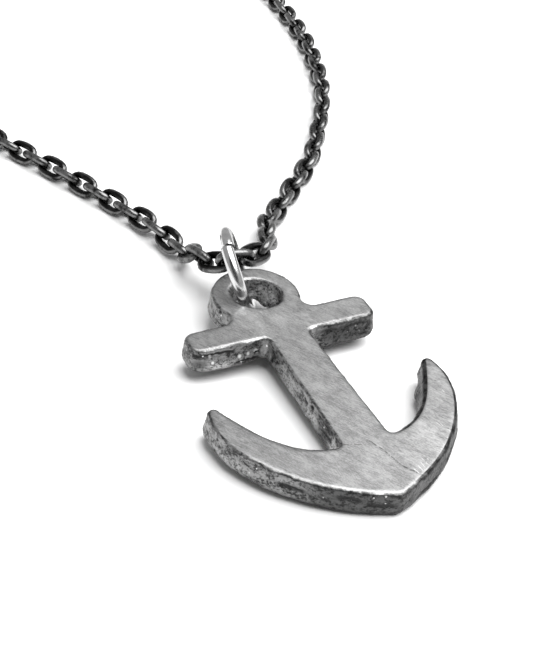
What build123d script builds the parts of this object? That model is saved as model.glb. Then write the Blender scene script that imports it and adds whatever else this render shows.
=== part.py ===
from build123d import *
import math
import os

# Anchor plate, measured on its face from the eye, with the head toward +Y
plate_thickness = 2.3
head_radius = 4.05
head_side = -0.35
head_below_eye = 0.1
eye_side = -0.28
eye_length = 4.6
eye_width = 4.05
eye_turn = -35
stock_half_length = 8.85
stock_left_height = 2.8
stock_right_height = 3.2
stock_foot_below_eye = 6.1
stock_corner = 1.0
neck_fillet = 1.0
shank_top_half = 1.92
shank_foot_half = 2.2
shank_foot_side = 0.17
crotch_fillet = 0.6
crown_side = -0.08
crown_below_eye = 26.45
crown_slope = 21
crown_rounding = 1.2
arm_reach = 10.7
arm_widest_below_bill = 1.85
arm_belly_reach = 6.9
arm_belly_above_crown = 4.15
bill_reach = 9.95
bill_above_crown = 13.75
bill_radius = 0.55
bill_outer_slope = 104
bill_inner_slope = 62
throat_reach = 6.4
throat_below_bill = 5.3
bay_floor = 0.95
bay_above_crown = 6.5
bay_slope = 14
bay_fillet = 0.5
edge_ease = 0.18

# Jump ring, which passes through the eye, under the rim of the head and round the chain
ring_outer_diameter = 8.5
ring_wire = 1.15
ring_foot_side = 0.8
ring_foot_inside_rim_middle = 0.1
ring_axis_turn = -17.2
ring_axis_rise = 19.7
plate_over_ring = 0.3

# Chain links and their lie
link_length = 3.66
link_width = 2.25
link_wire = 0.58
link_gap = 0.15
bend_slack_per_degree = 0.0017
link_roll = 45
ring_link_turn = 22
ring_turn_links = 5
clasp_turn_links = 12

# Clasp, a plain closed loop that joins the two ends
clasp_length = 11.0
clasp_width = 5.6
clasp_wire = 0.8
clasp_gap = 0.25

# Route of the chain from the ring round and back: across, away, height over its lying height
chain_route = [
    (-0.2, 5.0, 3.2),
    (3.2, 6.2, 2.75),
    (5.1, 9.1, 2.1),
    (6.6, 12.5, 1.0),
    (9.6, 16.2, 0.1),
    (12.9, 19.7, 0.0),
    (17.5, 24.6, 0.0),
    (21.9, 31.0, 0.0),
    (26.3, 38.4, 0.0),
    (29.9, 47.3, 0.0),
    (32.4, 56.2, 0.0),
    (34.2, 67.5, 0.0),
    (36.6, 95.0, 0.0),
    (38.0, 125.0, 0.0),
    (36.0, 155.0, 0.0),
    (27.5, 180.5, 0.3),
    (11.0, 198.0, 0.3),
    (-10.0, 202.0, 0.3),
    (-30.0, 190.5, 0.3),
    (-41.0, 168.0, 0.0),
    (-44.5, 140.0, 0.0),
    (-42.0, 112.0, 0.0),
    (-34.5, 85.0, 0.0),
    (-22.8, 59.0, 0.0),
    (-12.5, 38.5, 0.0),
    (-7.4, 27.5, 0.0),
    (-4.75, 20.9, 0.0),
    (-3.4, 16.2, 0.3),
    (-2.65, 11.0, 0.75),
    (-2.55, 8.0, 2.2),
    (-1.65, 5.65, 2.7),
]


def corner_near(face, x, y):
    return sorted(face.vertices(), key=lambda v: math.hypot(v.X - x, v.Y - y))[0]


def ease(face, places, radius):
    corners = [corner_near(face, x, y) for x, y in places]
    return fillet(corners, radius)


def heading(slope):
    return math.cos(math.radians(slope)), math.sin(math.radians(slope))


def arm():
    crown = -crown_below_eye
    bill_top = (bill_reach, crown + bill_above_crown)
    outer = Spline(
        (0, crown),
        (arm_belly_reach, crown + arm_belly_above_crown),
        (arm_reach, bill_top[1] - arm_widest_below_bill),
        (bill_top[0] + bill_radius, bill_top[1] - bill_radius),
        tangents=[heading(crown_slope), heading(bill_outer_slope)],
    )
    bill_inner = (bill_top[0] - bill_radius, bill_top[1] - bill_radius)
    tip = ThreePointArc(outer @ 1, bill_top, bill_inner)
    inner = Spline(
        bill_inner,
        (throat_reach, bill_top[1] - throat_below_bill),
        (shank_foot_half + bay_floor, crown + bay_above_crown),
        tangents=[heading(180 + bill_inner_slope), heading(180 + bay_slope)],
    )
    floor = Line(inner @ 1, (0, crown + bay_above_crown - bay_fillet))
    axis = Line(floor @ 1, outer @ 0)
    return make_face([outer, tip, inner, floor, axis])


def stock():
    foot = -stock_foot_below_eye
    outline = Polygon(
        (-stock_half_length, foot),
        (stock_half_length, foot),
        (stock_half_length, foot + stock_right_height),
        (-stock_half_length, foot + stock_left_height),
        align=None,
    )
    return fillet(outline.vertices(), stock_corner)


def shank():
    top = -stock_foot_below_eye + min(stock_left_height, stock_right_height) / 2
    foot = bay_above_crown - crown_below_eye - bay_fillet
    return Polygon(
        (shank_foot_side - shank_foot_half, foot),
        (shank_foot_side + shank_foot_half, foot),
        (shank_top_half, top),
        (-shank_top_half, top),
        align=None,
    )


def plate_outline():
    stock_top = (stock_left_height + stock_right_height) / 2 - stock_foot_below_eye
    bay = bay_above_crown - crown_below_eye
    head = Pos(head_side, -head_below_eye) * Circle(head_radius)
    right_arm = arm()
    arms = Pos(crown_side, 0) * (right_arm + mirror(right_arm, Plane.YZ))
    outline = head + stock() + shank() + arms
    half_chord = math.sqrt(head_radius ** 2 - (stock_top + head_below_eye) ** 2)
    necks = [(head_side + side * half_chord, stock_top) for side in (-1, 1)]
    outline = ease(outline, necks, neck_fillet)
    crotches = [(side * shank_top_half, -stock_foot_below_eye) for side in (-1, 1)]
    outline = ease(outline, crotches, crotch_fillet)
    bays = [(shank_foot_side + side * shank_foot_half, bay) for side in (-1, 1)]
    outline = ease(outline, bays, bay_fillet)
    return ease(outline, [(crown_side, -crown_below_eye)], crown_rounding)


def rim_middle():
    return (eye_width / 2 + head_radius - head_below_eye) / 2


def plate_location():
    lift = ring_wire + plate_over_ring
    tilt = math.degrees(math.asin(lift / (crown_below_eye + rim_middle())))
    crown_drop = Rot(X=tilt) * Pos(0, -crown_below_eye, -plate_thickness)
    return Pos(0, 0, -crown_drop.position.Z) * Rot(X=tilt)


def anchor():
    eye = Pos(eye_side, 0) * Rot(Z=eye_turn) * Ellipse(eye_length / 2, eye_width / 2)
    plate = extrude(plate_outline() - eye, -plate_thickness)
    top_edges = plate.faces().sort_by(Axis.Z)[-1].edges()
    return plate_location() * chamfer(top_edges, edge_ease)


def jump_ring():
    middle = (ring_outer_diameter - ring_wire) / 2
    axis = Rot(Z=ring_axis_turn) * Rot(Y=90 - ring_axis_rise)
    foot = axis * Pos(middle, 0, 0)
    foot_x = head_side + ring_foot_side
    foot_y = rim_middle() - ring_foot_inside_rim_middle
    centre = Pos(foot_x - foot.position.X, foot_y - foot.position.Y, ring_wire / 2 - foot.position.Z)
    return centre * axis * Torus(middle, ring_wire / 2)


def oval_loop(length, width, wire):
    straight = length - width
    path = SlotCenterToCenter(straight, width - wire).wire()
    start = path @ 0
    section = Plane(start, z_dir=path % 0) * Circle(wire / 2)
    return sweep(section, path=path)


def lying_height():
    return (link_width - link_wire) / 2 * math.sin(math.radians(link_roll)) + link_wire / 2


def route_curve():
    points = [(x, y, height + lying_height()) for x, y, height in chain_route]
    return Spline(points, periodic=True)


def route_place(route, share):
    point = route @ (share % 1)
    return Vector(point.X, point.Y, max(point.Z, lying_height())), route % (share % 1)


def next_share(route, share, way):
    reach = link_length - link_wire
    _, tangent = route_place(route, share)
    step = reach - link_wire - link_gap
    for _ in range(3):
        _, ahead = route_place(route, share + way * step / route.length)
        bend = tangent.get_angle(ahead)
        slack = link_gap + bend_slack_per_degree * bend
        step = reach * math.cos(math.radians(bend / 2)) - link_wire - slack
    return share + way * step / route.length


def branch_shares(route, way):
    end_reach = (clasp_length - clasp_wire + link_length - link_wire) / 2
    end_overlap = (clasp_wire + link_wire) / 2 + clasp_gap
    last = 0.5 - (end_reach - end_overlap) / route.length
    shares = []
    share = next_share(route, 0, way)
    while abs(share) <= last:
        shares.append(share)
        share = next_share(route, share, way)
    stretch = last / abs(shares[-1])
    return [share * stretch for share in shares]


def link_frame(route, share, roll):
    point, tangent = route_place(route, share)
    level_side = tangent.cross(Vector(0, 0, 1))
    frame = Plane(point, x_dir=tangent, z_dir=level_side.cross(tangent))
    return frame.location * Rot(X=roll)


def link_roll_at(number, count):
    sign = 1 if number % 2 else -1
    last_sign = 1 if count % 2 else -1
    near_ring = max(0, ring_turn_links - number) / ring_turn_links
    near_clasp = max(0, number - count + clasp_turn_links) / clasp_turn_links
    return sign * link_roll - ring_link_turn * near_ring + last_sign * (90 - link_roll) * near_clasp


def chain():
    route = route_curve()
    link = oval_loop(link_length, link_width, link_wire)
    branches = [branch_shares(route, way) for way in (1, -1)]
    links = [link_frame(route, 0, link_roll_at(0, len(branches[0]))) * link]
    for shares in branches:
        for number, share in enumerate(shares, 1):
            links.append(link_frame(route, share, link_roll_at(number, len(shares))) * link)
    return Compound(links)


def clasp():
    return link_frame(route_curve(), 0.5, 0) * oval_loop(clasp_length, clasp_width, clasp_wire)


parts = {
    "anchor": anchor(),
    "jump_ring": jump_ring(),
    "chain": chain(),
    "clasp": clasp(),
}
box = Compound(list(parts.values())).bounding_box()
stand = Pos(-box.center().X, -box.center().Y, -box.min.Z)

os.makedirs("parts", exist_ok=True)
for name, shape in parts.items():
    export_step(stand * shape, f"parts/{name}.step")
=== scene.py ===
import math

import bmesh
import bpy
import numpy as np
from mathutils import Matrix, Vector, noise


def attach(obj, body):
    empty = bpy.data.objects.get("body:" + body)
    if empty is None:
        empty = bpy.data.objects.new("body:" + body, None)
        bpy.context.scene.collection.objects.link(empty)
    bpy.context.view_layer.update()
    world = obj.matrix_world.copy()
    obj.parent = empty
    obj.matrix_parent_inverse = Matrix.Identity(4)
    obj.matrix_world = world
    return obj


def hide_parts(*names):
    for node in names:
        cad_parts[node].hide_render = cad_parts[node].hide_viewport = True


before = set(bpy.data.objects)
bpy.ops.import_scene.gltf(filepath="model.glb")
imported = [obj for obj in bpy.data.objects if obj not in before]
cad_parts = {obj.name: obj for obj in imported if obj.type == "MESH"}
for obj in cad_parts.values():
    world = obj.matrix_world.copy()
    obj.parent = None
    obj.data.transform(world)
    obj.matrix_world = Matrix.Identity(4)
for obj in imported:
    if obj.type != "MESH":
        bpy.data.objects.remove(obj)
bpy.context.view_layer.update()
print("frame loaded")

mm = 0.001
mergeReach = 0.001 * mm

# Where the plate lies: its eye's centre on its face, and its tilt from the head down to the crown
plate = {
    "eyeSpot": (3.245, -89.476, 3.638),
    "tilt": 2.823,
    "thickness": 2.3,
}

# The photo's camera
cameraPlan = {
    "spot": (-39.395, -171.806, 66.878),
    "azimuth": 27.98,
    "elevation": 36.12,
    "roll": 5.02,
    "lens": 67.57,
    "clip": (0.001, 40.0),
}

# Studio: greys of floor and surroundings, and one soft box, its power in watts
lightPlan = {
    "worldGrey": 0.50,
    "roomGrey": 0.07,  # the dark room behind the camera
    "roomToward": (-0.38, -0.71, 0.59),
    "roomReach": (22.0, 46.0),  # degrees from its middle: all dark, and back to worldGrey
    "floorGrey": 0.94,
    "floorRough": 0.9,
    "floorGloss": 0.1,
    "floorReach": 12.0,
    "box": {
        "toward": (0.34, -0.14, 0.93),
        "aim": (0.0, -12.0, 0.0),  # from the eye, mm
        "away": 1.0,
        "size": 1.30,
        "power": 20.0,
    },
}


# Node helpers: each adds a node and gives its output, and a value may be a number or a socket
def addNode(tree, kind, **settings):
    node = tree.nodes.new(kind)
    for name, value in settings.items():
        setattr(node, name, value)
    return node


def feed(tree, node, socket, source):
    if isinstance(source, bpy.types.NodeSocket):
        tree.links.new(source, node.inputs[socket])
    else:
        node.inputs[socket].default_value = source


def noiseOf(tree, coords, scale, detail, rough):
    node = addNode(tree, "ShaderNodeTexNoise")
    feed(tree, node, "Vector", coords)
    feed(tree, node, "Scale", scale)
    feed(tree, node, "Detail", detail)
    feed(tree, node, "Roughness", rough)
    return node.outputs["Fac"]


def rangeOf(tree, value, low, high, newLow=0.0, newHigh=1.0):
    node = addNode(tree, "ShaderNodeMapRange", interpolation_type="SMOOTHSTEP")
    feed(tree, node, "Value", value)
    feed(tree, node, "From Min", low)
    feed(tree, node, "From Max", high)
    feed(tree, node, "To Min", newLow)
    feed(tree, node, "To Max", newHigh)
    return node.outputs["Result"]


def mathOf(tree, operation, first, second=0.0):
    node = addNode(tree, "ShaderNodeMath", operation=operation)
    feed(tree, node, 0, first)
    feed(tree, node, 1, second)
    return node.outputs[0]


def timesOf(tree, first, *others):
    for other in others:
        first = mathOf(tree, "MULTIPLY", first, other)
    return first


def sumOf(tree, *weighted):
    total = timesOf(tree, *weighted[0])
    for value, weight in weighted[1:]:
        total = mathOf(tree, "ADD", total, timesOf(tree, value, weight))
    return total


def mixOf(tree, share, first, second):
    node = addNode(tree, "ShaderNodeMix", data_type="FLOAT")
    feed(tree, node, "Factor", share)
    feed(tree, node, "A", first)
    feed(tree, node, "B", second)
    return node.outputs["Result"]


def greyOf(tree, value):
    node = addNode(tree, "ShaderNodeCombineColor")
    for channel in ("Red", "Green", "Blue"):
        feed(tree, node, channel, value)
    return node.outputs["Color"]


def placedOf(tree, coords, turn, scale, spot=(0.0, 0.0, 0.0)):
    node = addNode(tree, "ShaderNodeMapping", vector_type="TEXTURE")
    feed(tree, node, "Vector", coords)
    node.inputs["Location"].default_value = spot
    node.inputs["Rotation"].default_value = (0.0, 0.0, math.radians(turn))
    node.inputs["Scale"].default_value = scale
    return node.outputs["Vector"]


def partsOf(tree, vector):
    node = addNode(tree, "ShaderNodeSeparateXYZ")
    feed(tree, node, "Vector", vector)
    return node.outputs


def nearOf(tree, spot, centre, reach, away=0.0, near=1.0):
    apart = addNode(tree, "ShaderNodeVectorMath", operation="DISTANCE")
    feed(tree, apart, 0, spot)
    apart.inputs[1].default_value = centre
    return rangeOf(tree, apart.outputs["Value"], reach, 0.3 * reach, away, near)


def lineOf(tree, coords, start, end, width):
    middle = ((start[0] + end[0]) / 2, (start[1] + end[1]) / 2, 0.0)
    half = math.dist(start, end) / 2
    turn = math.degrees(math.atan2(end[1] - start[1], end[0] - start[0]))
    local = partsOf(tree, placedOf(tree, coords, turn, (1.0, 1.0, 1.0), middle))
    along = mathOf(tree, "ABSOLUTE", local["X"])
    across = mathOf(tree, "ABSOLUTE", local["Y"])
    inside = rangeOf(tree, across, width / 2, 0.0)
    within = rangeOf(tree, along, half + width, half * 0.7)
    return timesOf(tree, inside, within)


def bumpOf(tree, height, strength, distance):
    node = addNode(tree, "ShaderNodeBump")
    feed(tree, node, "Height", height)
    feed(tree, node, "Strength", strength)
    feed(tree, node, "Distance", distance)
    return node.outputs["Normal"]


def attributeOf(tree, name):
    return addNode(tree, "ShaderNodeAttribute", attribute_name=name).outputs["Fac"]


def objectCoords(tree):
    return addNode(tree, "ShaderNodeTexCoord").outputs["Object"]


def newMaterial(name):
    material = bpy.data.materials.new(name)
    material.use_nodes = True
    tree = material.node_tree
    return material, tree, tree.nodes["Principled BSDF"]


# Shape helpers
def placeOf(spot):
    return Vector(spot) * mm


def plateMatrix():
    tilt = Matrix.Rotation(math.radians(plate["tilt"]), 4, "X")
    return Matrix.Translation(placeOf(plate["eyeSpot"])) @ tilt


def smoothStep(low, high, value):
    share = min(1.0, max(0.0, (value - low) / (high - low)))
    return share * share * (3 - 2 * share)


def newPiece(shape, name):
    mesh = bpy.data.meshes.new(name)
    shape.to_mesh(mesh)
    shape.free()
    piece = bpy.data.objects.new(name, mesh)
    bpy.context.scene.collection.objects.link(piece)
    return piece


def dress(piece, material):
    piece.data.materials.clear()
    piece.data.materials.append(material)


# Anchor: the sawn and filed plate, in mm from the eye's centre on the face
anchorShape = {
    "looseEdge": 0.6,  # longest outline edge before the walls are shaped
    "sharpAngle": 20.0,  # edges that bound the outline, degrees
    "voxel": 0.102,  # mesh spacing
    "flare": 0.20,  # how far every wall spreads by the back
    "flareFrom": 0.15,  # where that starts, as a share of the thickness
    "footRound": 0.60,  # rounding of the walls' lower edge
    "wallCuts": (0.9, 1.6, 1.95, 2.1, 2.2),  # depths at which the walls are cut to take shape
    "softRounds": 8,  # smoothing rounds over the whole plate
    "wallTurn": (0.45, 0.9),  # upright part of the normal: all wall, and all face
    "wallSwell": 0.07,  # broad waviness of the walls, and its scale
    "swellScale": 0.8,
    "wallGrain": 0.035,  # fine roughness of the walls, and its scale
    "grainScale": 4.5,
    "faceWave": 0.012,  # waviness of the face, and its scale
    "faceScale": 0.35,
    "pitDepth": 0.13,
    "pitSpacing": 0.75,
    "pitReach": 0.34,
    "pitLeast": 0.1,  # cells with a lower number have no pit
    "pitPatches": 0.6,  # scale of the patches with deeper pits
    "pitDark": 0.8,  # crust in a whole pit
    "scarReach": 1.0,  # how far off the wall a dent still marks it
    "scarShake": 0.5,  # how unsteady a dent's line is, as a share of its height
    "scarDark": 12,  # crust for each millimetre that a dent is pushed in
    "floorGap": 0.005,
}

# Places where the saw left the walls leaning out: across, along, reach, spread
leanSpots = [
    (8.4, -15.4, 1.7, 0.42),
    (9.6, -19.5, 3.2, 0.22),
    (-10.6, -13.6, 2.2, 0.2),
    (8.0, -22.8, 3.0, 0.12),
    (1.5, 0.8, 1.9, 0.95),
    (3.0, -6.1, 4.5, 0.65),
    (7.0, -6.1, 2.6, 0.45),
    (-6.0, -6.1, 4.0, 0.35),
]

# Dents in the walls: across, along, depth below the face, length along the wall, height, push in
scars = [
    (-7.4, -6.1, 0.55, 1.7, 0.26, 0.18),
    (-5.6, -6.1, 0.60, 0.9, 0.20, 0.12),
    (-8.2, -6.0, 1.30, 0.9, 0.70, 0.05),
    (-3.9, -6.1, 1.75, 1.5, 0.20, 0.18),
    (-2.9, -6.1, 1.25, 0.4, 0.20, 0.16),
    (-2.0, -7.3, 1.50, 0.35, 0.40, 0.18),
    (-2.0, -8.3, 1.90, 0.5, 0.25, 0.15),
    (-2.0, -13.9, 0.75, 0.35, 0.20, 0.22),
    (-2.0, -14.9, 0.50, 0.3, 0.20, 0.16),
    (-2.0, -17.0, 0.40, 1.4, 0.22, 0.20),
    (-2.0, -17.8, 1.10, 1.1, 0.30, 0.12),
    (-2.0, -12.6, 2.00, 0.6, 0.18, 0.12),
    (-4.55, -1.2, 0.35, 0.22, 0.20, 0.10),
    (-7.3, -22.0, 1.00, 1.6, 0.22, 0.12),
    (-3.6, -24.6, 0.80, 1.4, 0.25, 0.12),
    (-1.2, -25.7, 1.10, 1.2, 0.22, 0.10),
    (4.0, -6.1, 0.62, 1.6, 0.26, 0.06),
    (6.6, -6.1, 0.55, 1.9, 0.20, 0.06),
    (4.0, -6.1, 1.95, 2.4, 0.16, 0.05),
    (3.0, -24.9, 1.50, 2.6, 0.20, 0.12),
    (6.4, -21.9, 1.30, 2.0, 0.20, 0.12),
]

# Rubbed pale places in the walls: across, along, depth, length along the wall, height, strength
palePlaces = [
    (-6.6, -6.1, 1.70, 1.7, 0.55, 0.9),
    (-4.6, -6.1, 1.50, 1.3, 0.35, 0.6),
    (-2.0, -15.2, 1.30, 1.3, 0.60, 0.7),
    (-2.0, -19.3, 1.20, 1.6, 1.10, 1.0),
    (-2.0, -10.6, 1.20, 2.2, 0.90, 0.35),
    (7.6, -17.6, 1.20, 1.6, 0.90, 0.5),
    (1.5, 1.2, 1.00, 1.6, 0.60, 0.6),
    (-9.9, -17.0, 1.50, 2.5, 0.60, 0.5),
]


def plateCopy():
    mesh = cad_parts["anchor"].data.copy()
    mesh.transform(plateMatrix().inverted())
    shape = bmesh.new()
    shape.from_mesh(mesh)
    bpy.data.meshes.remove(mesh)
    bmesh.ops.remove_doubles(shape, verts=shape.verts, dist=mergeReach)
    longest = anchorShape["looseEdge"] * mm
    sharp = math.radians(anchorShape["sharpAngle"])
    long = [e for e in shape.edges if e.calc_length() > longest and len(e.link_faces) == 2]
    for edge in [e for e in long if e.calc_face_angle(0.0) > sharp]:
        count = int(edge.calc_length() / longest)
        bmesh.ops.subdivide_edges(shape, edges=[edge], cuts=count, use_grid_fill=False)
    bmesh.ops.triangulate(shape, faces=[f for f in shape.faces if len(f.verts) > 4])
    return shape


def spreadAt(x, y, z):
    drop = smoothStep(anchorShape["flareFrom"], 1.0, -z / plate["thickness"])
    spread = anchorShape["flare"] * drop
    for across, along, reach, amount in leanSpots:
        gap = math.hypot(x - across, y - along)
        spread += amount * drop * (1 - smoothStep(0, reach, gap))
    corner = anchorShape["footRound"]
    low = min(1.0, max(0.0, (-z - plate["thickness"] + corner) / corner))
    return spread - corner * (1 - math.sqrt(1 - low * low))


def leanWalls(shape):
    for depth in anchorShape["wallCuts"]:
        whole = list(shape.verts) + list(shape.edges) + list(shape.faces)
        bmesh.ops.bisect_plane(shape, geom=whole, plane_co=(0, 0, -depth * mm), plane_no=(0, 0, 1))
    bmesh.ops.recalc_face_normals(shape, faces=shape.faces)
    shape.normal_update()
    moves = {}
    for vert in shape.verts:
        side = Vector((vert.normal.x, vert.normal.y))
        if side.length > 0.2:
            moves[vert] = side.normalized() * spreadAt(*(vert.co / mm)) * mm
    for vert, move in moves.items():
        vert.co.x += move.x
        vert.co.y += move.y


def markAt(mark, spot, side):
    across, along, down, length, height, strength = mark
    gap = Vector((spot.x - across, spot.y - along))
    run = abs(gap.x * side.y - gap.y * side.x)
    off = abs(gap.x * side.x + gap.y * side.y)
    if run > length or off > anchorShape["scarReach"]:
        return 0.0
    rise = abs(-spot.z - down + anchorShape["scarShake"] * height * noise.noise(spot * 2))
    return strength * (1 - smoothStep(0.3, 1, run / length)) * (1 - smoothStep(0.2, 1, rise / height))


def pitAt(spot):
    gaps, points = noise.voronoi(spot / anchorShape["pitSpacing"])
    chosen = noise.cell(points[0] * 7.3 + Vector((5, 3, 1)))
    if chosen < anchorShape["pitLeast"]:
        return 0.0
    reach = anchorShape["pitReach"] * (0.4 + 0.6 * chosen)
    return 1 - smoothStep(0.3, 1.0, gaps[0] / reach)


# Dents and swells the walls, and keeps where crust and rubbing go in two attributes
def roughen(shape):
    shape.normal_update()
    recess = shape.verts.layers.float.new("recess")
    pale = shape.verts.layers.float.new("pale")
    moves = []
    for vert in shape.verts:
        spot = vert.co / mm
        normal = vert.normal
        wall = 1 - smoothStep(*anchorShape["wallTurn"], abs(normal.z))
        side = Vector((normal.x, normal.y))
        push = anchorShape["faceWave"] * noise.noise(spot * anchorShape["faceScale"])
        dark = light = 0.0
        if wall > 0 and side.length > 0.3:
            side.normalize()
            swell = noise.noise(spot * anchorShape["swellScale"] + Vector((3, 7, 1)))
            grain = noise.fractal(spot * anchorShape["grainScale"], 1.0, 2.0, 3)
            pit = pitAt(spot) * (0.5 + 0.5 * noise.noise(spot * anchorShape["pitPatches"]))
            scar = sum(markAt(mark, spot, side) for mark in scars)
            light = wall * min(1.0, sum(markAt(mark, spot, side) for mark in palePlaces))
            push += wall * (anchorShape["wallSwell"] * swell + anchorShape["wallGrain"] * grain)
            push -= wall * (anchorShape["pitDepth"] * pit + scar)
            dark = wall * min(1.0, anchorShape["pitDark"] * pit + anchorShape["scarDark"] * scar)
        vert[recess] = dark
        vert[pale] = light
        moves.append(normal * push * mm)
    for vert, move in zip(shape.verts, moves):
        vert.co += move


def remeshed(shape):
    loose = newPiece(shape, "anchorLoose")
    modifier = loose.modifiers.new("Grid", "REMESH")
    modifier.mode = "VOXEL"
    modifier.voxel_size = anchorShape["voxel"] * mm
    bpy.context.view_layer.update()
    graph = bpy.context.evaluated_depsgraph_get()
    finished = bpy.data.meshes.new_from_object(loose.evaluated_get(graph))
    dense = bmesh.new()
    dense.from_mesh(finished)
    looseMesh = loose.data
    bpy.data.objects.remove(loose)
    bpy.data.meshes.remove(looseMesh)
    bpy.data.meshes.remove(finished)
    return dense


def makeAnchor():
    rough = plateCopy()
    leanWalls(rough)
    shape = remeshed(rough)
    for _ in range(anchorShape["softRounds"]):
        bmesh.ops.smooth_vert(
            shape, verts=shape.verts, factor=0.5, use_axis_x=True, use_axis_y=True, use_axis_z=True)
    roughen(shape)
    print("anchor vertices", len(shape.verts))
    shape.transform(plateMatrix())
    lift = max(0.0, anchorShape["floorGap"] * mm - min(v.co.z for v in shape.verts))
    bmesh.ops.translate(shape, verts=shape.verts, vec=(0, 0, lift))
    bmesh.ops.recalc_face_normals(shape, faces=shape.faces)
    for face in shape.faces:
        face.smooth = True
    return newPiece(shape, "anchorPlate")


# Anchor finish: places and sizes in mm from the eye; a noise is its scale, detail and roughness
anchorFinish = {
    "faceFrom": (0.45, 0.75),  # upright part of the normal: all wall, and all face
    "strokeTurn": -62.0,  # brushing direction on the face, degrees
    "grain": (5.5, 3.0, 0.7),
    "blotch": (0.5, 5.0, 0.62),
    "faceShares": (0.20, 0.26, 0.14, 0.20, 0.20),  # broad, strokes, crossing, grain, blotch
    "faceSpan": (0.39, 0.61),  # the sum of them that goes over faceGrey
    "faceGrey": (0.20, 0.43),
    "faceLitSpread": (0.96, 1.22),  # painted light: the face lighter from its left to its right
    "faceSides": (-8.0, 7.0),
    "faceRough": (0.31, 0.43),
    "scratchGrey": 0.40,  # what a scratch leaves of the face's grey
    "glintGrey": 0.8,
    "lineShake": (1.5, 0.25),  # scale and reach of the wobble in scratches and glints
    "lineBreaks": (3.0, 3.0, 0.7),
    "nicks": (0.9, 4.0, 0.7),
    "edgeFrom": (0.985, 0.92),  # upright part of the normal where the face's edges are rubbed
    "edgeWear": (0.25, 1.0),  # how much of the face's grey they keep
    "rightFrom": (0.998, 0.975),  # both once more for the edges of the right arm, whose grey is darkened as painted shade
    # painted shade: what the right arm's edges keep of the face's grey
    "rightEdgeShade": 0.22,
    "rightAcross": (2.6, 3.8),
    "rightAlong": (-9.0, -12.0),
    "crownAcross": (0.3, 2.5),
    "crownAlong": (-22.0, -24.0),
    "wallDrawn": (1.0, 1.0, 0.7),
    "crust": (1.1, 5.0, 0.65),
    "grit": (4.0, 3.0, 0.7),
    "wallShares": (0.55, 0.45),  # crust, grit
    "wallSpan": (0.41, 0.57),  # the sum of them that goes over wallDark to wallGrey
    "wallDark": 0.03,
    "wallGrey": 0.30,
    "paleGrey": 0.55,
    "paleSpan": (0.36, 0.56),
    "wallRough": 0.42,
    "wallMetal": 0.65,
    "armShade": 0.30,  # painted shade on the arms' walls beside the other walls
    "litAlong": (-18.5, -14.0),
    "litAcross": (-4.5, -8.5),
    "rightShade": 0.34,  # painted shade on the right half's walls
    "shadeAcross": (2.0, 4.5),
    "footShade": 0.5,  # painted shade on the walls' lower edges
    "footHeight": (-1.6, -2.2),
    # painted glints: the grey of the walls' bright flecks, random and placed
    "glintFleckGrey": 0.95,
    "fleckScale": 2.4,
    "fleckReach": (0.10, 0.30),
    "fleckChance": (0.88, 0.91),
    "faceBumps": (1.0, 0.6, 0.4, -1.0),  # strokes, crossing, grain, scratches
    "strokeBump": 0.16,
    "wallBump": 0.7,
    "bumpDepth": 0.04,
}

# Brushed patterns: turn from the brushing direction, size, detail, roughness
brushings = {
    "broad": (0.0, (3.0, 0.8, 3.0), 3.0, 0.6),
    "strokes": (8.0, (0.9, 0.11, 0.9), 3.0, 0.65),
    "crossing": (-24.0, (0.7, 0.09, 0.7), 2.0, 0.6),
}

# Painted sheen, lighter rounds on the face: across, along, reach, and how many times lighter
sheenRounds = [
    (-1.3, -3.6, 3.4, 1.30),
    (5.4, -21.8, 3.5, 1.10),
]

# Fine lines cut in the face: start, end, width
scratches = [
    ((-2.6, -19.6), (0.3, -20.6), 0.20),
    ((0.3, -20.0), (1.0, -21.5), 0.26),
    ((1.0, -21.5), (1.5, -23.5), 0.22),
    ((1.5, -23.5), (2.6, -25.0), 0.26),
    ((8.6, -14.7), (9.4, -15.7), 0.14),
    ((6.6, -20.6), (7.6, -21.4), 0.12),
    ((5.9, -21.6), (6.9, -22.4), 0.12),
    ((5.2, -22.5), (5.9, -23.2), 0.12),
]

# Painted highlights: short bright glints along the file's strokes inside the right arm's edge: start,
# end, width
glints = [
    ((3.7, -23.1), (3.8, -23.7), 0.08),
    ((3.4, -23.3), (3.5, -24.1), 0.10),
    ((3.1, -23.6), (3.1, -24.3), 0.08),
    ((2.7, -23.9), (2.8, -24.6), 0.10),
    ((2.2, -24.1), (2.4, -24.8), 0.10),
    ((6.6, -20.1), (6.8, -20.7), 0.10),
    ((6.9, -20.3), (7.0, -20.9), 0.08),
    ((9.2, -16.6), (9.2, -17.2), 0.10),
]

# Painted highlights: bright glinting specks on the stock's left wall: across, along, height over the
# face, reach
glintSpecks = [
    (-4.62, -6.27, -1.22, 0.26),
    (-3.78, -6.24, -1.16, 0.24),
    (-3.06, -6.22, -1.06, 0.28),
    (-7.32, -6.16, -0.62, 0.22),
    (-7.10, -6.28, -1.30, 0.20),
]


def plateCoords(tree):
    node = addNode(tree, "ShaderNodeMapping", vector_type="TEXTURE")
    feed(tree, node, "Vector", objectCoords(tree))
    node.inputs["Location"].default_value = placeOf(plate["eyeSpot"])
    node.inputs["Rotation"].default_value = (math.radians(plate["tilt"]), 0.0, 0.0)
    node.inputs["Scale"].default_value = (mm, mm, mm)
    return node.outputs["Vector"]


# How far the surface is turned as the face is, 1 on the face itself
def faceTurn(tree):
    normal = addNode(tree, "ShaderNodeNewGeometry").outputs["Normal"]
    dot = addNode(tree, "ShaderNodeVectorMath", operation="DOT_PRODUCT")
    feed(tree, dot, 0, normal)
    dot.inputs[1].default_value = plateMatrix().to_3x3() @ Vector((0, 0, 1))
    return dot.outputs["Value"]


def wobbleOf(tree, coords, scale, reach):
    waves = addNode(tree, "ShaderNodeTexNoise")
    feed(tree, waves, "Vector", coords)
    feed(tree, waves, "Scale", scale)
    push = addNode(tree, "ShaderNodeVectorMath", operation="MULTIPLY_ADD")
    feed(tree, push, 0, waves.outputs["Color"])
    push.inputs[1].default_value = (reach, reach, reach)
    feed(tree, push, 2, coords)
    return push.outputs["Vector"]


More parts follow.
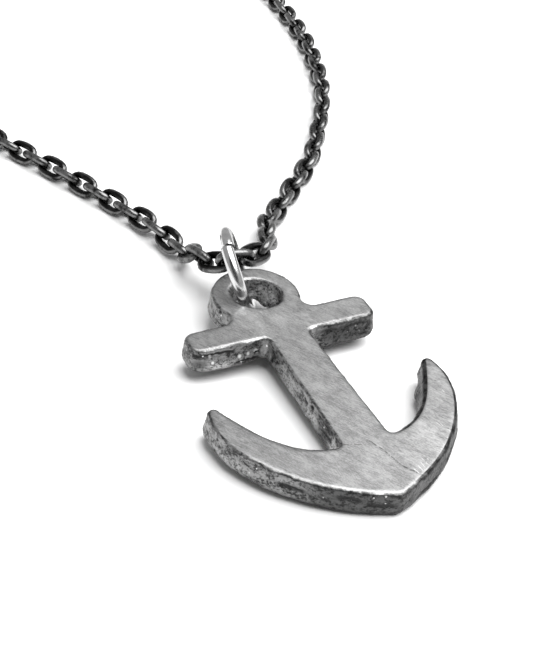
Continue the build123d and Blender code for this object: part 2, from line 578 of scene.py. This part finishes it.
def linesMask(tree, spot, lines):
    shaken = wobbleOf(tree, spot, *anchorFinish["lineShake"])
    mask = lineOf(tree, shaken, *lines[0])
    for start, end, width in lines[1:]:
        mask = mathOf(tree, "MAXIMUM", mask, lineOf(tree, shaken, start, end, width))
    breaks = noiseOf(tree, spot, *anchorFinish["lineBreaks"])
    return timesOf(tree, mask, rangeOf(tree, breaks, 0.38, 0.55))


# Painted highlights: bright glint flecks on the walls, random ones and the placed specks
def glintFleckMask(tree, spot):
    cells = addNode(tree, "ShaderNodeTexVoronoi")
    feed(tree, cells, "Vector", spot)
    feed(tree, cells, "Scale", anchorFinish["fleckScale"])
    colour = partsOf(tree, cells.outputs["Color"])
    reach = rangeOf(tree, colour["Y"], 0.0, 1.0, *anchorFinish["fleckReach"])
    near = rangeOf(tree, cells.outputs["Distance"], reach, timesOf(tree, reach, 0.5))
    mask = timesOf(tree, near, rangeOf(tree, colour["X"], *anchorFinish["fleckChance"]))
    for across, along, height, reach in glintSpecks:
        mask = mathOf(tree, "MAXIMUM", mask, nearOf(tree, spot, (across, along, height), reach))
    return mask


def brushedAndSheenGrey(tree, spot, patterns):
    look = anchorFinish
    places = partsOf(tree, spot)
    mottled = sumOf(tree, *zip(patterns, look["faceShares"]))
    grey = rangeOf(tree, mottled, *look["faceSpan"], *look["faceGrey"])
    # Painted light: the face grows lighter towards its right, then painted sheen in the rounds below
    grey = timesOf(tree, grey, rangeOf(tree, places["X"], *look["faceSides"], *look["faceLitSpread"]))
    for across, along, reach, gain in sheenRounds:
        grey = timesOf(tree, grey, nearOf(tree, spot, (across, along, 0.0), reach, 1.0, gain))
    return grey


# What wear leaves of the grey at the face's edges, with painted shade darkening them most along the
# right arm and the crown's right
def edgeWearAndShade(tree, spot):
    look = anchorFinish
    places = partsOf(tree, spot)
    arm = rangeOf(tree, places["X"], *look["rightAcross"])
    low = rangeOf(tree, places["Y"], *look["crownAlong"])
    crown = timesOf(tree, low, rangeOf(tree, places["X"], *look["crownAcross"]))
    growing = rangeOf(tree, places["Y"], *look["rightAlong"], 0.6, 1.0)
    right = timesOf(tree, growing, mathOf(tree, "MAXIMUM", arm, crown))
    nicks = rangeOf(tree, noiseOf(tree, spot, *look["nicks"]), 0.40, 0.60, *look["edgeWear"])
    # painted shade on the right arm's and the crown's edges
    nicks = timesOf(tree, nicks, rangeOf(tree, right, 0.0, 1.0, 1.0, look["rightEdgeShade"]))
    turn = faceTurn(tree)
    leftRim = rangeOf(tree, turn, *look["edgeFrom"])
    rightRim = rangeOf(tree, turn, *look["rightFrom"])
    return mixOf(tree, mixOf(tree, right, leftRim, rightRim), 1.0, nicks)


# Walls' grey: crust and rubbing, with painted shade and painted glints
def crustShadeAndGlintGrey(tree, spot, crust, grit):
    look = anchorFinish
    places = partsOf(tree, spot)
    patchy = sumOf(tree, *zip((crust, grit), look["wallShares"]))
    clean = rangeOf(tree, patchy, *look["wallSpan"], look["wallDark"], look["wallGrey"])
    # painted shade on the arms' walls
    lit = mathOf(
        tree, "MAXIMUM", rangeOf(tree, places["Y"], *look["litAlong"]),
        rangeOf(tree, places["X"], *look["litAcross"]))
    shaded = timesOf(tree, clean, rangeOf(tree, lit, 0.0, 1.0, look["armShade"], 1.0))
    rubbed = timesOf(tree, attributeOf(tree, "pale"), rangeOf(tree, grit, *look["paleSpan"]))
    shaded = mixOf(tree, rubbed, shaded, look["paleGrey"])
    crusted = mixOf(tree, attributeOf(tree, "recess"), shaded, look["wallDark"])
    # painted glints over the walls, then painted shade on the right half and the lower edges
    grey = mixOf(tree, glintFleckMask(tree, spot), crusted, look["glintFleckGrey"])
    rightDark = rangeOf(tree, places["X"], *look["shadeAcross"], 1.0, look["rightShade"])
    footDark = rangeOf(tree, places["Z"], *look["footHeight"], 1.0, look["footShade"])
    return timesOf(tree, grey, timesOf(tree, rightDark, footDark))


def anchorMaterial():
    material, tree, surface = newMaterial("filedSilver")
    look = anchorFinish
    spot = plateCoords(tree)
    broad, strokes, crossing = [
        noiseOf(tree, placedOf(tree, spot, look["strokeTurn"] + turn, size), 1.0, detail, rough)
        for turn, size, detail, rough in brushings.values()]
    grain = noiseOf(tree, spot, *look["grain"])
    blotch = noiseOf(tree, spot, *look["blotch"])
    drawn = placedOf(tree, spot, 0, look["wallDrawn"])
    crust = noiseOf(tree, drawn, *look["crust"])
    grit = noiseOf(tree, drawn, *look["grit"])
    face = rangeOf(tree, faceTurn(tree), *look["faceFrom"])

    cut = linesMask(tree, spot, scratches)
    faceGrey = timesOf(
        tree, brushedAndSheenGrey(tree, spot, (broad, strokes, crossing, grain, blotch)),
        rangeOf(tree, cut, 0.0, 1.0, 1.0, look["scratchGrey"]), edgeWearAndShade(tree, spot))
    # painted glints over the face's grey
    faceGrey = mixOf(tree, linesMask(tree, spot, glints), faceGrey, look["glintGrey"])
    faceRough = rangeOf(tree, strokes, 0.3, 0.7, *look["faceRough"])
    faceHeight = sumOf(tree, *zip((strokes, crossing, grain, cut), look["faceBumps"]))

    grey = mixOf(tree, face, crustShadeAndGlintGrey(tree, spot, crust, grit), faceGrey)
    feed(tree, surface, "Base Color", greyOf(tree, grey))
    feed(tree, surface, "Metallic", mixOf(tree, face, look["wallMetal"], 1.0))
    feed(tree, surface, "Roughness", mixOf(tree, face, look["wallRough"], faceRough))
    height = mixOf(tree, face, mathOf(tree, "ADD", grit, crust), faceHeight)
    strength = mixOf(tree, face, look["wallBump"], look["strokeBump"])
    feed(tree, surface, "Normal", bumpOf(tree, height, strength, look["bumpDepth"] * mm))
    return material


# Jump ring: one bent wire, its cut ends a little out of line
ringShape = {
    "cutAngle": 20.0,  # place of the cut, degrees from the top toward the crown
    "cutGap": 0.06,  # mm
    "endOffset": 0.16,  # how far the ends stand apart sideways, mm
    "wireSides": 32,
    "steps": 160,
}


# The CAD ring's centre, its axis, the ways toward the crown and up, its middle radius and its wire's
def ringFrame():
    points = np.array([v.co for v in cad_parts["jump_ring"].data.vertices], float)
    centre = (points.min(0) + points.max(0)) / 2
    directions = np.linalg.eigh(np.cov((points - centre).T))[1]
    axis = Vector(directions[:, 0])
    if axis.x < 0:
        axis = -axis
    forward = axis.cross(Vector((0, 0, 1))).normalized()
    if forward.y > 0:
        forward = -forward
    up = axis.cross(forward)
    if up.z < 0:
        up = -up
    far = np.linalg.norm(points - centre, axis=1).max()
    thick = np.abs((points - centre) @ np.array(axis)).max()
    return Vector(centre), axis, forward, up, far - thick, thick


def makeRing():
    centre, axis, forward, up, middle, wire = ringFrame()
    print("ring middle", round(middle / mm, 3), "wire", round(wire / mm, 3))
    shape = bmesh.new()
    start = math.radians(ringShape["cutAngle"])
    half = ringShape["cutGap"] * mm / 2 / middle
    outward = up * math.cos(start + half) + forward * math.sin(start + half)
    turning = forward * math.cos(start + half) - up * math.sin(start + half)
    place = Matrix((
        (outward.x, axis.x, turning.x, 0),
        (outward.y, axis.y, turning.y, 0),
        (outward.z, axis.z, turning.z, 0),
        (0, 0, 0, 1),
    ))
    bmesh.ops.create_circle(
        shape, cap_ends=True, segments=ringShape["wireSides"], radius=wire,
        matrix=Matrix.Translation(centre + outward * middle) @ place)
    bmesh.ops.spin(
        shape, geom=list(shape.verts) + list(shape.edges) + list(shape.faces), cent=centre,
        axis=outward.cross(turning), angle=2 * math.pi - 2 * half, steps=ringShape["steps"],
        use_merge=False, use_duplicate=False)
    bmesh.ops.remove_doubles(shape, verts=shape.verts, dist=mergeReach)
    for vert in shape.verts:
        reach = vert.co - centre
        turn = math.atan2(reach.dot(forward), reach.dot(up)) - start
        share = (turn % (2 * math.pi)) / (2 * math.pi) - 0.5
        vert.co += axis * (2 * share) ** 3 * ringShape["endOffset"] / 2 * mm
    bmesh.ops.recalc_face_normals(shape, faces=shape.faces)
    for face in shape.faces:
        face.smooth = len(face.verts) == 4
    return newPiece(shape, "jumpRingWire")


ringFinish = {
    "grey": (0.52, 0.62),
    "rough": (0.14, 0.24),
    "wear": (900.0, 4.0, 0.6),  # scale, detail and roughness of the noise
    "scuffTurn": 20,
    "scuffSize": (0.25, 1.1, 1.1),  # mm
    "scuffBump": 0.08,
    "bumpDepth": 0.01,
}


def ringMaterial():
    material, tree, surface = newMaterial("polishedSilver")
    look = ringFinish
    coords = objectCoords(tree)
    wear = noiseOf(tree, coords, *look["wear"])
    drawn = placedOf(tree, coords, look["scuffTurn"], placeOf(look["scuffSize"]))
    scuff = noiseOf(tree, drawn, 1.0, 2.0, 0.5)
    feed(tree, surface, "Base Color", greyOf(tree, rangeOf(tree, wear, 0.3, 0.7, *look["grey"])))
    feed(tree, surface, "Metallic", 1.0)
    feed(tree, surface, "Roughness", rangeOf(tree, wear, 0.35, 0.75, *look["rough"]))
    feed(tree, surface, "Normal", bumpOf(tree, scuff, look["scuffBump"], look["bumpDepth"] * mm))
    return material


# Chain: oval links of round wire, each where the frame has it
linkShape = {
    "length": 4.19,  # outside, before the corners are rounded, mm
    "width": 2.50,
    "wire": 0.80,
    "lift": 0.11,  # keeps the links on the floor, mm
    "sides": 6,
    "endSteps": 4,
    "rounding": 0.87,  # what rounding leaves of the wire's thickness
    "rubFrom": (-0.2, 0.9),  # where the wire is rubbed, from its middle line out, in wire radii
}


def makeLink():
    wire = linkShape["wire"] * mm / 2
    middle = linkShape["width"] * mm / 2 - wire
    straight = (linkShape["length"] - linkShape["width"]) * mm / 2
    shape = bmesh.new()
    rims = {}
    for end in (1, -1):
        spot = Matrix.Translation((end * straight, -end * middle, 0))
        made = bmesh.ops.create_circle(
            shape, cap_ends=False, segments=linkShape["sides"], radius=wire / linkShape["rounding"],
            matrix=spot @ Matrix.Rotation(math.pi / 2, 4, "Y"))
        loop = [e for e in shape.edges if all(v in made["verts"] for v in e.verts)]
        rims[(end, -end)] = loop
        turned = bmesh.ops.spin(
            shape, geom=made["verts"] + loop, cent=(end * straight, 0, 0), axis=(0, 0, 1),
            angle=math.pi, steps=linkShape["endSteps"], use_merge=False, use_duplicate=False)
        rims[(end, end)] = [g for g in turned["geom_last"] if isinstance(g, bmesh.types.BMEdge)]
    for side in (1, -1):
        bmesh.ops.bridge_loops(shape, edges=rims[(1, side)] + rims[(-1, side)])
    bmesh.ops.recalc_face_normals(shape, faces=shape.faces)
    rub = shape.verts.layers.float.new("rub")
    for vert in shape.verts:
        nearest = max(-straight, min(straight, vert.co.x))
        outward = math.hypot(vert.co.x - nearest, vert.co.y) - middle
        vert[rub] = smoothStep(*linkShape["rubFrom"], outward / wire)
    for face in shape.faces:
        face.smooth = True
    mesh = bpy.data.meshes.new("link")
    shape.to_mesh(mesh)
    shape.free()
    return mesh


# The mesh's points, its triangles, and for each triangle the loose body that it belongs to
def looseBodies(mesh):
    points = np.array([v.co for v in mesh.vertices], float)
    mesh.calc_loop_triangles()
    triangles = np.array([t.vertices for t in mesh.loop_triangles])
    rounded = np.round(points / mergeReach).astype(np.int64)
    merged = np.unique(rounded, axis=0, return_inverse=True)[1]
    corners = merged.ravel()[triangles]
    labels = np.arange(corners.max() + 1)
    while True:
        lowest = labels[corners].min(1)
        fresh = labels.copy()
        np.minimum.at(fresh, corners.ravel(), np.repeat(lowest, 3))
        fresh = fresh[fresh]
        if (fresh == labels).all():
            return points, triangles, labels[corners[:, 0]]
        labels = fresh


def linkPlaces():
    points, triangles, owner = looseBodies(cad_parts["chain"].data)
    lift = placeOf((0, 0, linkShape["lift"]))
    places = []
    for label in np.unique(owner):
        first, second, third = [points[triangles[owner == label][:, i]] for i in range(3)]
        centres = (first + second + third) / 3
        areas = np.linalg.norm(np.cross(second - first, third - first), axis=1)
        centre = (centres * areas[:, None]).sum(0) / areas.sum()
        offsets = centres - centre
        spread = (offsets * areas[:, None]).T @ offsets
        directions = np.linalg.eigh(spread)[1]
        long, wide = Vector(directions[:, 2]), Vector(directions[:, 1])
        turn = Matrix((long, wide, long.cross(wide))).transposed().to_4x4()
        places.append(Matrix.Translation(Vector(centre) + lift) @ turn)
    return places


def makeChain():
    link = makeLink()
    shape = bmesh.new()
    places = linkPlaces()
    print("links", len(places))
    for place in places:
        copy = link.copy()
        copy.transform(place)
        shape.from_mesh(copy)
        bpy.data.meshes.remove(copy)
    bpy.data.meshes.remove(link)
    piece = newPiece(shape, "chainLinks")
    rounding = piece.modifiers.new("Round", "SUBSURF")
    rounding.levels = rounding.render_levels = 1
    return piece


# Chain and clasp finish: blackened silver, rubbed lighter where it stands proud
chainFinish = {
    "dark": 0.016,
    "worn": 0.20,
    "thinWear": 0.25,  # how far the patches away from the rubbed places go to worn
    "rough": (0.24, 0.40),
    "patches": (900.0, 4.0, 0.6),  # scale, detail and roughness of the noise
    "grain": (5200.0, 3.0, 0.6),
    "grainBump": 0.2,
    "bumpDepth": 0.01,
}


def chainMaterial():
    material, tree, surface = newMaterial("blackenedSilver")
    look = chainFinish
    coords = objectCoords(tree)
    patches = noiseOf(tree, coords, *look["patches"])
    grain = noiseOf(tree, coords, *look["grain"])
    proud = rangeOf(tree, attributeOf(tree, "rub"), 0.5, 1.0)
    rubbed = timesOf(tree, proud, rangeOf(tree, patches, 0.34, 0.56))
    thin = timesOf(tree, rangeOf(tree, patches, 0.45, 0.75), look["thinWear"])
    grey = mixOf(tree, mathOf(tree, "MAXIMUM", rubbed, thin), look["dark"], look["worn"])
    feed(tree, surface, "Base Color", greyOf(tree, grey))
    feed(tree, surface, "Metallic", 1.0)
    feed(tree, surface, "Roughness", rangeOf(tree, grain, 0.35, 0.7, *look["rough"]))
    feed(tree, surface, "Normal", bumpOf(tree, grain, look["grainBump"], look["bumpDepth"] * mm))
    return material


# Floor, camera and light
def makeFloor():
    shape = bmesh.new()
    bmesh.ops.create_grid(shape, x_segments=1, y_segments=1, size=lightPlan["floorReach"])
    floor = newPiece(shape, "floor")
    material, tree, surface = newMaterial("palePaper")
    feed(tree, surface, "Base Color", (lightPlan["floorGrey"],) * 3 + (1.0,))
    feed(tree, surface, "Roughness", lightPlan["floorRough"])
    feed(tree, surface, "Specular IOR Level", lightPlan["floorGloss"])
    dress(floor, material)


def makeCamera():
    camera = bpy.data.cameras.new("camera")
    camera.lens = cameraPlan["lens"]
    camera.clip_start, camera.clip_end = cameraPlan["clip"]
    holder = bpy.data.objects.new("camera", camera)
    bpy.context.scene.collection.objects.link(holder)
    turn = Matrix.Rotation(-math.radians(cameraPlan["azimuth"]), 4, "Z")
    tip = Matrix.Rotation(math.pi / 2 - math.radians(cameraPlan["elevation"]), 4, "X")
    roll = Matrix.Rotation(math.radians(cameraPlan["roll"]), 4, "Z")
    holder.matrix_world = Matrix.Translation(placeOf(cameraPlan["spot"])) @ turn @ tip @ roll
    bpy.context.scene.camera = holder


def makeLight():
    plan = lightPlan["box"]
    lamp = bpy.data.lights.new("box", "AREA")
    lamp.shape = "DISK"
    lamp.size = plan["size"]
    lamp.energy = plan["power"]
    holder = bpy.data.objects.new("box", lamp)
    bpy.context.scene.collection.objects.link(holder)
    toward = Vector(plan["toward"]).normalized()
    holder.location = placeOf(plate["eyeSpot"]) + placeOf(plan["aim"]) + toward * plan["away"]
    holder.rotation_euler = toward.to_track_quat("Z", "Y").to_euler()


def makeWorld():
    world = bpy.data.worlds.new("studio")
    world.use_nodes = True
    bpy.context.scene.world = world
    tree = world.node_tree
    toward = addNode(tree, "ShaderNodeTexCoord").outputs["Generated"]
    dot = addNode(tree, "ShaderNodeVectorMath", operation="DOT_PRODUCT")
    feed(tree, dot, 0, toward)
    dot.inputs[1].default_value = Vector(lightPlan["roomToward"]).normalized()
    near, far = [math.cos(math.radians(angle)) for angle in lightPlan["roomReach"]]
    grey = rangeOf(tree, dot.outputs["Value"], far, near, lightPlan["worldGrey"], lightPlan["roomGrey"])
    feed(tree, tree.nodes["Background"], "Color", greyOf(tree, grey))


makeFloor()
makeCamera()
makeWorld()
makeLight()
print("studio ready")

anchorPiece = makeAnchor()
dress(anchorPiece, anchorMaterial())
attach(anchorPiece, "root")
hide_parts("anchor")
print("anchor ready")

ringPiece = makeRing()
dress(ringPiece, ringMaterial())
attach(ringPiece, "root")
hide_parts("jump_ring")
print("jump ring ready")

blackened = chainMaterial()
chainPiece = makeChain()
dress(chainPiece, blackened)
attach(chainPiece, "root")
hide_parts("chain")
dress(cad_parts["clasp"], blackened)
print("chain and clasp ready")

bpy.context.scene.view_settings.view_transform = "Standard"
